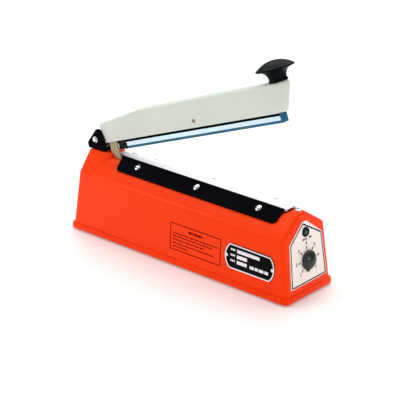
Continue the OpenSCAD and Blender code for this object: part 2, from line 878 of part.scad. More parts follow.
module microswitch() {
    ears = [switch_y0, switch_y0 + switch_w - 0.9];
    color("dimgray") difference() {
        union() {
            block(-131.5, -111, switch_y0, switch_y0 + switch_w, switch_top - 10.2, switch_top);
            for (y = ears) {
                block(lever_x - 1.4, lever_x + 1.4, y, y + 0.9, switch_top - 1, lever_z);
                translate([lever_x, 0, lever_z]) across(1.4, y, y + 0.9);
            }
            for (x = [-128, -121, -114]) block(x - 0.3, x + 0.3, switch_y0 + 1.8,
                switch_y0 + 4.8, switch_top - 14.5, switch_top - 10);
        }
        translate([lever_x, 0, lever_z]) across(0.55, -12, 0);
        for (x = [-127.5, -115.5]) translate([x, 0, switch_top - 7]) across(1.2, -12, 0);
        translate([-120.5, switch_y0 + switch_w / 2, switch_top - 3]) cylinder(r = 1.1, h = 8);
    }
}

module switch_plunger() {
    color("firebrick") translate([-120.5, switch_y0 + switch_w / 2, switch_top - 1.4])
        cylinder(r = 1.05, h = 5.1);
}

module switch_lever() {
    color("silver") {
        translate([lever_x, 0, lever_z]) across(0.5, switch_y0, switch_y0 + switch_w);
        translate([lever_x, 0, lever_z]) across(0.9, lever_y0, lever_y0 + lever_w);
        block(lever_x, -108.5, lever_y0, lever_y0 + lever_w, lever_z - 0.2, lever_z + 0.4);
    }
}

module microswitch_bracket() {
    y0 = switch_y0 + switch_w + 0.2;
    color("silver") difference() {
        union() {
            block(-131, -111, y0, y0 + 1.2, switch_top - 12, void_top - 2.1);
            block(-131, -115, y0, 11, void_top - 3.3, void_top - 2.1);
        }
        for (x = [-127.5, -115.5]) translate([x, 0, switch_top - 7]) across(1.2, -4, 4);
        for (x = [-127, -119]) translate([x, 7, void_top - 6]) cylinder(r = 1.5, h = 8);
    }
}

module microswitch_screws() {
    y0 = switch_y0 + switch_w;
    color("gainsboro") {
        for (x = [-127.5, -115.5]) translate([x, switch_y0 - 0.1, switch_top - 7])
            rotate([90, 0, 0]) pan_screw(2, 1.1, 1.1, 9.5);
        for (x = [-127, -119]) translate([x, 7, void_top - 3.4]) mirror([0, 0, 1])
            pan_screw(2.2, 1.2, 1.15, 5);
    }
}

// Leads held inside the body; each list is the wire's route
lead_routes = [
    [[-93, 0, 78.9], [-93, 0, 64], [-50, 14, 56], [-34, 17, 46], [-30, 18, 38]],
    [[119.5, 0, 78.9], [119.5, 0, 66], [40, 16, 58], [2, 18, 46], [-10, 18, 38]],
    [[-121, -5.9, 52], [-121, -5.9, 40], [-104, -5, 24], [-91, -4, 20], [-91, -4, 10]],
    [[129, 0, 67.5], [124, 0, 56], [112, 4, 34], [108, 6, 16]],
    [[-123.5, 16, 20.4], [-112, 12, 22], [-91, 4, 20], [-91, 4, 10]],
    [[-71, -4, 10], [-71, -4, 22], [-58, -16, 34], [-40, -22.4, 26], [-32, -22.4, 26]]
];

module internal_leads() {
    color("firebrick") for (route = lead_routes) swept_wire(route, 1, 8);
}

// ---- Arm ----

// A post that rounds one end of the arm: upright cylinder with a rounded top rim
module arm_post(r, rim, z0, z1) {
    for (a = [0 : 22.5 : 90]) translate([0, 0, z0])
        cylinder(r = r - rim + rim * cos(a), h = z1 - rim + rim * sin(a) - z0, $fn = hull_fn);
}

// Solid outside of the arm, or its hollow when inset
module arm_solid(inset) {
    rim = 3;
    heel_r = 4;
    low = inset > 0 ? -arm_low - 1 : -arm_low;
    hull() both_sides() {
        translate([arm_left + heel_r - 1, arm_half_w - heel_r, 0])
            arm_post(heel_r - inset, rim - inset, 8, heel_top - inset);
        translate([arm_left + heel_r + 2, arm_half_w - heel_r, 0])
            arm_post(heel_r - inset, rim - inset, low, low + 4);
        translate([kink_u, arm_half_w - rim, kink_top - rim])
            sphere(r = rim - inset, $fn = hull_fn);
        translate([arm_end_top - arm_half_w, 0, 0])
            arm_post(arm_half_w - inset, rim - inset, arm_top - 5, arm_top - inset);
        translate([arm_end_low - arm_half_w, 0, 0])
            arm_post(arm_half_w - inset, 0.5, low, low + 2);
    }
}

// Open-bottomed moulding with two lugs on the hinge pin
module arm_shell() {
    lug_in = arm_half_w - arm_wall;
    color("beige") in_arm() difference() {
        union() {
            difference() {
                arm_solid(0);
                arm_solid(arm_wall);
            }
            both_sides() {
                across(lug_r, lug_in, arm_half_w);
                block(0, arm_left + 6, lug_in, arm_half_w, -arm_low + 0.4, lug_r);
                // heel that meets the bracket's rear web when the arm stands open
                rotate([0, arm_open, 0]) block(-10.6, -2, lug_in, arm_half_w, -4.1, 0.4);
            }
            // boss under the handle screw, and the seats of the pivot pin
            translate([handle_u, 0, arm_top - 7]) cylinder(r = 5.5, h = 6);
            both_sides() translate([pivot_u, 0, pivot_w]) across(4.2, carrier_half + 0.5,
                arm_half_w - 1);
        }
        across(pin_r + running, -20, 20);
        translate([pivot_u, 0, pivot_w]) across(pivot_r, -20, 20);
        translate([handle_u, 0, arm_top - 8]) cylinder(r = 2.6, h = 10);
        translate([tab_screw_u, 0, -1.5]) across(1.2, -20, 0);
        // slot in the end wall for the spring's leg
        block(5, 12, coil_half - 1.2, coil_half + 1.2, 6.6, 10.6);
    }
}

module bar_pivot_pin() {
    color("tan") in_arm() translate([pivot_u, 0, pivot_w])
        across(pivot_r - 0.02, -arm_half_w - 0.3, arm_half_w + 0.3);
}

// Plate that reaches down through the roof slot to the switch lever
module switch_tab() {
    color("tan") in_arm() translate([0, tab_y + 1.9, 0]) rotate([90, 0, 0])
        linear_extrude(2) difference() {
            polygon([[14.8, 4], [26.4, 4], [26.4, -25], [28.4, -28], [28.4, -33], [24, -33],
                [14.8, -27]]);
            translate([tab_screw_u, -1.5]) circle(r = 1.3);
        }
}

// Screws of the handle and the switch tab
module arm_screws() {
    color("silver") in_arm() {
        translate([handle_u, 0, arm_top - 7.1]) mirror([0, 0, 1]) pan_screw(4.4, 2.6, 2.4, 16);
        translate([tab_screw_u, tab_y + 1.95, -1.5]) rotate([-90, 0, 0])
            pan_screw(2.4, 1, 1.15, 4);
    }
}

// Mushroom knob: a waisted stem that flares into the rim, under a low dome
module arm_handle() {
    foot_r = 10.4;
    waist_r = 9.4;
    waist_z = 3;
    rim_t = 1.1;
    dome_h = 6.9;
    lip_r = cap_r - rim_t;
    dome_r = (lip_r * lip_r + dome_h * dome_h) / (2 * dome_h);
    dome_z = cap_rim_h + rim_t + dome_h - dome_r;
    dome_a = asin(lip_r / dome_r);
    flare = [for (a = [0 : 9 : 90]) [waist_r + (lip_r - waist_r) * (1 - cos(a)),
        waist_z + (cap_rim_h - rim_t - waist_z) * sin(a)]];
    rim = [for (a = [-72 : 18 : 72]) [lip_r + rim_t * cos(a), cap_rim_h + rim_t * sin(a)]];
    dome = [for (i = [0 : 10]) let (a = dome_a * (1 - i / 10))
        [dome_r * sin(a), dome_z + dome_r * cos(a)]];
    color("black") in_arm() translate([handle_u, 0, arm_top + 0.05]) difference() {
        rotate_extrude() polygon(concat([[0, 0], [foot_r, 0], [foot_r, 1]], flare, rim, dome));
        translate([0, 0, -1]) cylinder(r = 2.42, h = 11);
    }
}

// ---- Seal bar ----

// Block at the inner end of the seal bar, with a tongue that plugs into the carrier
module bar_end_block() {
    half = 4.2;
    color("black") in_arm() {
        block(26.4, 39.4, -half, half, -seal_low, -2);
        block(39, 47, -2.3, 2.3, channel_top + 1.3, -4.2);
        translate([33, 0, -11.5]) across(2, -half - 0.4, 0);
    }
}

// Folded carrier that hangs on the pivot pin inside the arm
module bar_carrier() {
    color("black") in_arm() difference() {
        block(bar_u0, bar_u1 - 1, -carrier_half, carrier_half, channel_top + 0.02, -3.2);
        block(bar_u0 - 1, bar_u1, -carrier_half + 1.2, carrier_half - 1.2, channel_top + 1.2, 0);
    }
    color("black") in_arm() difference() {
        both_sides() translate([pivot_u, 0, 0]) block(-9, 9, carrier_half - 1.2, carrier_half,
            -4, pivot_w + 4);
        translate([pivot_u, 0, pivot_w]) across(pivot_r + running, -20, 20);
    }
}

module seal_channel() {
    silicone_top = -seal_low + silicone_t;
    color("white") in_arm() difference() {
        block(bar_u0, bar_u1, -bar_half, bar_half, silicone_top - 0.6, channel_top);
        block(bar_u0 - 1, bar_u1 + 1, -bar_half + 0.8, bar_half - 0.8, silicone_top - 2,
            silicone_top + 1.2);
    }
}

// Silicone strip in the channel, turned up over the bar's outer end
module silicone_strip() {
    silicone_top = -seal_low + silicone_t;
    color("steelblue") in_arm() {
        block(bar_u0 + 0.2, bar_u1 + 2, -bar_half + 0.9, bar_half - 0.9, -seal_low + 0.5,
            silicone_top + 1.1);
        block(bar_u0 + 0.2, bar_u1 + 2, -bar_half + 0.2, bar_half - 0.2, -seal_low,
            silicone_top - 0.7);
        block(bar_u1 + 0.1, bar_u1 + 2, -bar_half + 0.1, bar_half - 0.1, -seal_low, -7.4);
    }
}

housing();
bottom_plate();
rubber_feet();
bottom_screws();
control_panel();
lamp_bezel();
lamp_lens();
potentiometer();
potentiometer_nut();
name_plate();
name_plate_rivets();
hinge_bracket();
roof_screws();
hinge_pin();
pin_retaining_rings();
torsion_spring();
platform_bar();
platform_screws();
insulation_tape();
heating_element();
nonstick_cloth();
clamp_strip_front();
clamp_strip_rear();
clamp_screws_front();
clamp_screws_rear();
electrodes();
electrode_insulators();
electrode_screws();
transformer_core();
transformer_bobbin();
transformer_winding();
transformer_frame();
transformer_screws();
timer_board();
board_standoffs();
board_relay();
board_capacitors();
terminal_block();
cord_bush();
fuse_holder();
fuse_cap();
fuse();
microswitch();
microswitch_bracket();
microswitch_screws();
internal_leads();
arm_shell();
bar_pivot_pin();
bar_end_block();
switch_tab();
arm_handle();
arm_screws();
spring_arm_leg();
bar_carrier();
seal_channel();
silicone_strip();
timer_knob();
potentiometer_shaft();
switch_lever();
switch_plunger();
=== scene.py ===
import json
import math

import bmesh
import bpy
from mathutils import Matrix, Vector
from mathutils.geometry import convex_hull_2d

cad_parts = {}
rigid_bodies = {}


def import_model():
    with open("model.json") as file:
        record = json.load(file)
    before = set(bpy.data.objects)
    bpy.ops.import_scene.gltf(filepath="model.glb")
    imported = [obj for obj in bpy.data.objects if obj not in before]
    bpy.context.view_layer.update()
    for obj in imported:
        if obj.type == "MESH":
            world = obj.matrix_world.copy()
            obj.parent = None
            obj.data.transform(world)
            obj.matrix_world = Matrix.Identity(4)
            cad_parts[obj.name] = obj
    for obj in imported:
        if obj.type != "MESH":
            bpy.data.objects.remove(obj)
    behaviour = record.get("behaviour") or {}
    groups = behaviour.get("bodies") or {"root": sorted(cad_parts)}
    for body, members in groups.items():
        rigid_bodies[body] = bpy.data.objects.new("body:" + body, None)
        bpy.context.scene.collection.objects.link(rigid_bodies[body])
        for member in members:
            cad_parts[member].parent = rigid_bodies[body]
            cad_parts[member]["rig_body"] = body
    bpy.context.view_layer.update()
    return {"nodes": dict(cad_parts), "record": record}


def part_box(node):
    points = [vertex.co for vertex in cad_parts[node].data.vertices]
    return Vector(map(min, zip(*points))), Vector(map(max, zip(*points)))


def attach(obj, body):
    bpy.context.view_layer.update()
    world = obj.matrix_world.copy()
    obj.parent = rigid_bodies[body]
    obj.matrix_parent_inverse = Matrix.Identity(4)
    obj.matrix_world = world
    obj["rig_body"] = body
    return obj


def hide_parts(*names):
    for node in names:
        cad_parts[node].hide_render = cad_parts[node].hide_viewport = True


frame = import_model()

MM = 0.001

# ---- Camera ----
CAMERA_AT = (1.1162, -1.2839, 0.7923)
CAMERA_AZIMUTH = 40.908
CAMERA_ELEVATION = 23.165
LENS = 154.47


def make_camera():
    data = bpy.data.cameras.new("camera")
    data.lens = LENS
    data.sensor_width = 36.0
    data.clip_start = 0.05
    camera = bpy.data.objects.new("camera", data)
    camera.location = CAMERA_AT
    camera.rotation_euler = (math.radians(90 - CAMERA_ELEVATION), 0, math.radians(CAMERA_AZIMUTH))
    bpy.context.scene.collection.objects.link(camera)
    bpy.context.scene.camera = camera


# ---- Light and floor ----
WORLD_STRENGTH = 0.33
FLOOR_HALF = 3.0
# Name, place, what it points at, size, watts and colour
LIGHTS = (
    ("top", (-0.5, 0.6, 1.4), (-0.1, 0.1, 0), (2.4, 1.8), 30, (1, 1, 1)),
    ("key", (-0.95, -1.1, 0.72), (-0.05, 0, 0.07), (0.5, 0.8), 7.4, (1, 1, 1)),
    ("end", (1.25, -0.15, 0.5), (0.15, 0, 0.05), (0.5, 0.5), 4.2, (1.0, 0.94, 0.86)),
    ("fill", (1.0, -1.15, 0.45), (0.1, 0, 0.1), (0.3, 0.6), 2.2, (1, 1, 1)),
)


def area_light(name, at, towards, size, power, colour):
    data = bpy.data.lights.new(name, "AREA")
    data.shape = "RECTANGLE"
    data.size, data.size_y = size
    data.energy = power
    data.color = colour
    light = bpy.data.objects.new(name, data)
    light.location = at
    light.rotation_euler = (Vector(at) - Vector(towards)).to_track_quat("Z", "Y").to_euler()
    bpy.context.scene.collection.objects.link(light)


def make_studio():
    scene = bpy.context.scene
    scene.view_settings.view_transform = "Standard"
    world = bpy.data.worlds.new("studio")
    world.use_nodes = True
    world.node_tree.nodes["Background"].inputs["Color"].default_value = (1, 1, 1, 1)
    world.node_tree.nodes["Background"].inputs["Strength"].default_value = WORLD_STRENGTH
    scene.world = world
    for light in LIGHTS:
        area_light(*light)


def make_floor():
    mesh = bpy.data.meshes.new("floor")
    corners = [(x * FLOOR_HALF, y * FLOOR_HALF, 0)
               for x, y in ((-1, -1), (1, -1), (1, 1), (-1, 1))]
    mesh.from_pydata(corners, [], [(0, 1, 2, 3)])
    floor = bpy.data.objects.new("floor", mesh)
    bpy.context.scene.collection.objects.link(floor)
    mesh.materials.append(floor_material())


# ---- Materials ----
class Paint:
    """A procedural material: a Principled shader with noise in its colour, roughness and bump."""

    def __init__(self, name, **shader):
        self.material = bpy.data.materials.new(name)
        self.material.use_nodes = True
        self.tree = self.material.node_tree
        self.shader = self.tree.nodes["Principled BSDF"]
        for key, value in shader.items():
            self.shader.inputs[key.replace("_", " ")].default_value = value
        self.place = self.add("ShaderNodeTexCoord").outputs["Object"]

    def add(self, kind, **settings):
        node = self.tree.nodes.new(kind)
        for key, value in settings.items():
            setattr(node, key, value)
        return node

    def link(self, a, b):
        self.tree.links.new(a, b)

    def noise(self, scale, detail=3.0, stretch=(1, 1, 1)):
        mapping = self.add("ShaderNodeMapping")
        mapping.inputs["Scale"].default_value = stretch
        self.link(self.place, mapping.inputs["Vector"])
        node = self.add("ShaderNodeTexNoise")
        node.inputs["Scale"].default_value = scale
        node.inputs["Detail"].default_value = detail
        self.link(mapping.outputs["Vector"], node.inputs["Vector"])
        return node.outputs["Fac"]

    def ramp(self, value, low, high, a, b):
        node = self.add("ShaderNodeMapRange")
        node.inputs["From Min"].default_value = low
        node.inputs["From Max"].default_value = high
        node.inputs["To Min"].default_value = a
        node.inputs["To Max"].default_value = b
        self.link(value, node.inputs["Value"])
        return node.outputs["Result"]

    def mix(self, factor, a, b):
        node = self.add("ShaderNodeMix", data_type="RGBA")
        self.link(factor, node.inputs["Factor"])
        for socket, colour in ((node.inputs[6], a), (node.inputs[7], b)):
            if isinstance(colour, tuple):
                socket.default_value = (*colour, 1)
            else:
                self.link(colour, socket)
        return node.outputs[2]

    def colour(self, output):
        self.link(output, self.shader.inputs["Base Color"])
        return self

    def rough(self, output):
        self.link(output, self.shader.inputs["Roughness"])
        return self

    def bump(self, height, strength, distance):
        node = self.add("ShaderNodeBump")
        node.inputs["Strength"].default_value = strength
        node.inputs["Distance"].default_value = distance
        self.link(height, node.inputs["Height"])
        if self.shader.inputs["Normal"].is_linked:
            self.link(self.shader.inputs["Normal"].links[0].from_socket, node.inputs["Normal"])
        self.link(node.outputs["Normal"], self.shader.inputs["Normal"])
        return self


def linear(r, g, b):
    """Screen colour, 0 to 255, as scene-linear."""
    return tuple((c / 255 / 12.92) if c <= 10 else ((c / 255 + 0.055) / 1.055) ** 2.4
                 for c in (r, g, b))


def plastic(name, low, high, roughness, grain=0.02, coat=0.0, gloss=0.25):
    """Moulded plastic: faint flow marks, fine surface texture, uneven gloss."""
    paint = Paint(name, IOR=1.5, Specular_IOR_Level=gloss, Coat_Weight=coat, Coat_Roughness=0.12)
    paint.colour(paint.mix(paint.ramp(paint.noise(14), 0.35, 0.65, 0, 1), low, high))
    paint.rough(paint.ramp(paint.noise(220, 3), 0.3, 0.7, roughness * 0.9, roughness * 1.1))
    paint.bump(paint.noise(1800, 2), grain, 0.0004)
    return paint.material


def metal(name, low, high, roughness, brushed=(1, 1, 1)):
    paint = Paint(name, Metallic=1.0)
    paint.colour(paint.mix(paint.noise(90, 4, brushed), low, high))
    paint.rough(paint.ramp(paint.noise(160, 4, brushed), 0.3, 0.7, roughness * 0.75,
                           roughness * 1.3))
    paint.bump(paint.noise(900, 3, brushed), 0.05, 0.0002)
    return paint.material


def shell_plastic():
    """The case's orange plastic: glossy, with reflections that take its colour."""
    paint = Paint("orange_shell", IOR=1.5, Specular_IOR_Level=0.3,
                  Specular_Tint=(1.0, 0.42, 0.12, 1.0))
    paint.colour(paint.mix(paint.ramp(paint.noise(14), 0.35, 0.65, 0, 1),
                           linear(250, 54, 4), linear(252, 57, 5)))
    paint.rough(paint.ramp(paint.noise(220, 3), 0.3, 0.7, 0.29, 0.3))
    paint.bump(paint.noise(1800, 2), 0.03, 0.0004)
    return paint.material


def woven(name, low, high, roughness, threads, depth):
    """Coated cloth: crossed threads, threads per metre, under a smooth skin."""
    paint = Paint(name, IOR=1.4, Specular_IOR_Level=0.3, Sheen_Weight=0.1)
    waves = []
    for direction in ("X", "Y"):
        wave = paint.add("ShaderNodeTexWave", bands_direction=direction)
        wave.inputs["Scale"].default_value = threads / 20
        wave.inputs["Distortion"].default_value = 0.3
        paint.link(paint.place, wave.inputs["Vector"])
        waves.append(wave.outputs["Fac"])
    weave = paint.add("ShaderNodeMath", operation="MAXIMUM")
    for wave, socket in zip(waves, weave.inputs):
        paint.link(wave, socket)
    threads_up = weave.outputs["Value"]
    paint.colour(paint.mix(paint.ramp(threads_up, 0, 1, 0.2, 1), low, high))
    paint.rough(paint.ramp(paint.noise(70, 4), 0.3, 0.7, roughness * 0.8, roughness * 1.2))
    paint.bump(threads_up, 0.25, depth)
    return paint.material


def floor_material():
    paint = Paint("floor", Roughness=0.35, Emission_Color=(1, 1, 1, 1), Emission_Strength=0.08)
    paint.colour(paint.mix(paint.noise(3), linear(250, 250, 250), linear(253, 253, 253)))
    return paint.material


def make_materials():
    return {
        "orange_shell": shell_plastic(),
        "arm_plastic": plastic("arm_plastic", linear(208, 215, 205), linear(214, 221, 211), 0.38),
        "black_paint": plastic("black_paint", linear(1, 3, 6), linear(5, 7, 11), 0.32, 0.05,
                               gloss=0.01),
        "black_plastic": plastic("black_plastic", linear(14, 14, 16), linear(22, 22, 24), 0.5,
                                 gloss=0.12),
        "black_gloss": plastic("black_gloss", linear(1, 10, 12), linear(4, 16, 18), 0.36, 0.01,
                               gloss=0.05),
        "knob_black": plastic("knob_black", linear(6, 18, 20), linear(14, 28, 30), 0.26, 0.01,
                              gloss=0.45),
        "black_rubber": plastic("black_rubber", linear(24, 24, 24), linear(34, 34, 33), 0.7, 0.1),
        "foot_rubber": plastic("foot_rubber", linear(30, 30, 30), linear(44, 43, 42), 0.8, 0.1),
        "ink_black": plastic("ink_black", linear(3, 3, 4), linear(12, 10, 10), 0.6, gloss=0.02),
        "ink_red": plastic("ink_red", linear(104, 8, 4), linear(122, 14, 7), 0.6, gloss=0.02),
        "ink_white": plastic("ink_white", linear(222, 224, 232), linear(240, 240, 246), 0.4),
        "panel_print": plastic("panel_print", linear(244, 232, 228), linear(248, 237, 233), 0.4),
        "plate_print": plastic("plate_print", linear(4, 4, 6), linear(10, 10, 12), 0.4, gloss=0.03),
        "rivet_plastic": plastic("rivet_plastic", linear(228, 232, 238), linear(240, 243, 247),
                                 0.3),
        "lamp_glass": plastic("lamp_glass", linear(16, 44, 30), linear(24, 60, 42), 0.12, 0.0,
                              0.6),
        "phenolic": plastic("phenolic", linear(120, 84, 52), linear(142, 102, 66), 0.55),
        "nylon": plastic("nylon", linear(226, 223, 210), linear(234, 231, 220), 0.45),
        "copper_tape": plastic("copper_tape", linear(190, 140, 52), linear(206, 160, 70), 0.4),
        "board_green": plastic("board_green", linear(20, 92, 46), linear(30, 110, 58), 0.35),
        "relay_plastic": plastic("relay_plastic", linear(22, 60, 140), linear(30, 72, 156), 0.4),
        "capacitor_skin": plastic("capacitor_skin", linear(20, 24, 70), linear(28, 32, 84), 0.3),
        "lead_skin": plastic("lead_skin", linear(150, 24, 18), linear(166, 32, 24), 0.45),
        # The switch tab's tan is the arm's cream plastic painted darker and browner: partly dirt,
        # partly painted shade where the tab sits in shadow under the arm.
        "tab_plastic": plastic("tab_plastic", linear(162, 150, 120), linear(180, 168, 138), 0.5),
        "plunger_plastic": plastic("plunger_plastic", linear(160, 24, 20), linear(176, 34, 28),
                                   0.4),
        "blue_silicone": plastic("blue_silicone", linear(20, 88, 116), linear(30, 102, 132), 0.42),
        "core_steel": plastic("core_steel", linear(48, 48, 52), linear(62, 62, 66), 0.5),
        "fuse_glass": plastic("fuse_glass", linear(214, 226, 226), linear(222, 234, 234), 0.1),
        "tan_tape": plastic("tan_tape", linear(196, 170, 124), linear(208, 184, 140), 0.6),
        "ptfe_cloth": woven("ptfe_cloth", linear(243, 240, 245), linear(251, 249, 252), 0.4,
                            1400, 0.00004),
        "plate_steel": metal("plate_steel", linear(178, 180, 182), linear(196, 198, 200), 0.38,
                             (1, 12, 12)),
        "screw_steel": metal("screw_steel", linear(184, 186, 188), linear(204, 206, 208), 0.3),
        "pot_metal": metal("pot_metal", linear(160, 162, 166), linear(180, 182, 186), 0.35),
        "pin_steel": metal("pin_steel", linear(196, 198, 200), linear(214, 216, 218), 0.25),
        "spring_steel": metal("spring_steel", linear(104, 106, 110), linear(126, 128, 132), 0.35),
        "element_metal": metal("element_metal", linear(160, 158, 156), linear(176, 174, 172),
                               0.35, (1, 20, 20)),
        "chrome_screw": metal("chrome_screw", linear(206, 208, 210), linear(222, 224, 226), 0.12),
        "brass_part": metal("brass_part", linear(204, 168, 90), linear(220, 186, 108), 0.3),
        # The pivot pin's dark brownish bronze is partly the pin's metal and partly painted shade of
        # the hole it sits in.
        "pivot_bronze": metal("pivot_bronze", linear(136, 112, 84), linear(158, 134, 104), 0.45),
        "bare_strip": metal("bare_strip", linear(214, 212, 220), linear(226, 224, 230), 0.4,
                            (1, 14, 14)),
        "channel_metal": metal("channel_metal", linear(188, 208, 218), linear(196, 216, 226),
                               0.3, (1, 14, 14)),
    }


# ---- Clean copies of the frame's solids ----
EASED = 0.25
SHARP = math.radians(32)
WELD = 0.00001
FLAT = math.radians(0.6)


def clean_copy(node):
    """A new mesh from a CAD node: welded, flat faces joined, edges eased, smooth elsewhere."""
    source = frame["nodes"][node]
    mesh = bpy.data.meshes.new(node + "_skin")
    bm = bmesh.new()
    bm.from_mesh(source.data)
    bmesh.ops.remove_doubles(bm, verts=bm.verts, dist=WELD)
    bmesh.ops.dissolve_limit(bm, angle_limit=FLAT, verts=bm.verts, edges=bm.edges)
    for face in bm.faces:
        face.smooth = True
    for edge in bm.edges:
        edge.smooth = edge.calc_face_angle(0) < SHARP
    bm.to_mesh(mesh)
    bm.free()
    piece = bpy.data.objects.new(node + "_skin", mesh)
    bpy.context.scene.collection.objects.link(piece)
    mod = piece.modifiers.new("edges", "BEVEL")
    mod.width = EASED * MM
    mod.segments = 2
    mod.limit_method = "ANGLE"
    mod.angle_limit = SHARP
    mod.harden_normals = True
    mod.use_clamp_overlap = True
    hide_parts(node)
    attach(piece, source["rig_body"])
    return piece


def dress(piece, slot, material=None):
    piece.data.materials.clear()
    piece.data.materials.append(MATERIALS[material or slot])


# ---- Flat places on the frame ----
class Face:
    """A flat place: a point on it, and its right, up and out directions. x, y, h are in mm."""

    def __init__(self, at, right, out):
        self.at = Vector(at)
        self.out = Vector(out).normalized()
        right = Vector(right)
        self.right = (right - self.out * right.dot(self.out)).normalized()
        self.up = self.out.cross(self.right)

    def point(self, x, y, h=0.0):
        return self.at + (self.right * x + self.up * y + self.out * h) * MM

    def matrix(self, x, y, h=0.0):
        place = Matrix((self.right, self.up, self.out)).transposed().to_4x4()
        place.translation = self.point(x, y, h)
        return place

    def locate(self, point):
        """A point's x, y and h on this face, in mm."""
        d = (Vector(point) - self.at) / MM
        return d.dot(self.right), d.dot(self.up), d.dot(self.out)

    def moved(self, x, y, h=0.0):
        return Face(self.point(x, y, h), self.right, self.out)


def largest_face(node, right, out):
    """The plane with the most area among a node's faces that look along out."""
    mesh = frame["nodes"][node].data
    out = Vector(out)
    planes = {}
    for polygon in mesh.polygons:
        normal = polygon.normal
        if normal.dot(out) < 0.8:
            continue
        key = (*(round(c, 2) for c in normal), round(polygon.center.dot(normal), 4))
        area, middle, total = planes.get(key, (0.0, Vector(), Vector()))
        planes[key] = (area + polygon.area, middle + polygon.center * polygon.area,
                       total + normal * polygon.area)
    area, middle, total = max(planes.values(), key=lambda plane: plane[0])
    return Face(middle / area, right, total)


def centre(node):
    low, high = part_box(node)
    return (Vector(low) + Vector(high)) / 2


def joint(name):
    return next(j for j in frame["record"]["behaviour"]["joints"] if j["name"] == name)


# ---- Printing, as thin raised ink ----
def rectangle(x0, x1, y0, y1):
    return [(x0, y0), (x1, y0), (x1, y1), (x0, y1)]


def inset(outline, distance):
    """A convex outline, counter-clockwise, moved inwards."""
    points = [Vector(p) for p in outline]
    count = len(points)
    moved = []
    for i, point in enumerate(points):
        before = (point - points[i - 1]).normalized()
        after = (points[(i + 1) % count] - point).normalized()
        normals = [Vector((-d.y, d.x)) for d in (before, after)]
        between = (normals[0] + normals[1]).normalized()
        moved.append(tuple(point + between * distance / between.dot(normals[0])))
    return moved


def slab(bm, face, outline, low, high):
    """A flat-topped patch of ink."""
    bottom = [bm.verts.new(face.point(x, y, low)) for x, y in outline]
    top = [bm.verts.new(face.point(x, y, high)) for x, y in outline]
    bm.faces.new(top)
    bm.faces.new(bottom[::-1])
    for i in range(len(outline)):
        j = (i + 1) % len(outline)
        bm.faces.new((bottom[i], bottom[j], top[j], top[i]))


def line(bm, face, outline, width, low, high):
    """A line of ink that runs round inside an outline."""
    loops = [[bm.verts.new(face.point(x, y, h)) for x, y in points]
             for points, h in ((outline, low), (outline, high), (inset(outline, width), high),
                               (inset(outline, width), low))]
    count = len(outline)
    for k in range(4):
        a, b = loops[k], loops[(k + 1) % 4]
        for i in range(count):
            j = (i + 1) % count
            bm.faces.new((a[i], a[j], b[j], b[i]))


def piece_from(bm, name, body, slot, material=None, bevel=0.0):
    bmesh.ops.recalc_face_normals(bm, faces=bm.faces)
    mesh = bpy.data.meshes.new(name)
    bm.to_mesh(mesh)
    bm.free()
    piece = bpy.data.objects.new(name, mesh)
    bpy.context.scene.collection.objects.link(piece)
    if bevel:
        mod = piece.modifiers.new("edges", "BEVEL")
        mod.width = bevel * MM
        mod.segments = 2
        mod.limit_method = "ANGLE"
    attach(piece, body)
    dress(piece, slot, material)
    return piece


INK_LOW = -0.02
INK_HIGH = 0.05


def words(start, end, y, height, lengths, gap=0.9):
    """A row of bars that stands for a line of small print."""
    row = []
    x = start
    i = 0
    while x < end:
        length = min(lengths[i % len(lengths)], end - x)
        if length > 0.6:
            row.append(rectangle(x, x + length, y - height / 2, y + height / 2))
        x += length + gap
        i += 1
    return row


def outline_of(node, face, height):
    """The convex outline of a node's vertices at a height over a face, counter-clockwise."""
    flat = []
    for vertex in frame["nodes"][node].data.vertices:
        x, y, h = face.locate(vertex.co)
        if abs(h - height) < 0.03:
            flat.append((x, y))
    corners = [flat[i] for i in convex_hull_2d([Vector(p) for p in flat])]
    kept = []
    for i, corner in enumerate(corners):
        before = Vector(corner) - Vector(corners[i - 1])
        after = Vector(corners[(i + 1) % len(corners)]) - Vector(corner)
        if before.length > 0.01 and abs(before.angle_signed(after, 0)) > math.radians(0.5):
            kept.append(corner)
    area = sum(kept[i - 1][0] * p[1] - p[0] * kept[i - 1][1] for i, p in enumerate(kept))
    return kept if area > 0 else kept[::-1]


# Dial: how many ticks and the angle between them, their inner and outer radius and half width,
# and the radius, size and added thickness of the numbers
TICKS = 7
TICK_STEP = 45
TICK_IN, TICK_OUT, TICK_HALF = 11.8, 15.2, 0.65
NUMBER_AT, NUMBER_SIZE, NUMBER_BOLD = 18.2, 4.8, 0.18
# Panel: how far in and how wide the dark line and the pale margin are
PANEL_LINE = (0.9, 1.4)
PANEL_MARGIN = (0.1, 0.75)
# Marks under the lamp: their ends across the panel, and their drop below the lamp's centre
LAMP_MARKS = ((-5.6, -3.9), (-3.4, -1.8), (-0.6, 1.4), (5.0, 6.6), (7.1, 9.0))
LAMP_MARKS_LOW, LAMP_MARKS_TOP = 9.3, 7.1


def number(face, text, at):
    """One number on the dial."""
    data = bpy.data.curves.new("dial_number_" + text, "FONT")
    data.body = text
    data.size = NUMBER_SIZE * MM
    data.align_x = "CENTER"
    data.align_y = "CENTER"
    data.extrude = INK_HIGH * MM
    data.offset = NUMBER_BOLD * MM
    piece = bpy.data.objects.new("dial_number_" + text, data)
    piece.matrix_world = face.matrix(at.x, at.y)
    bpy.context.scene.collection.objects.link(piece)
    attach(piece, "base")
    dress(piece, "black_paint", "ink_black")


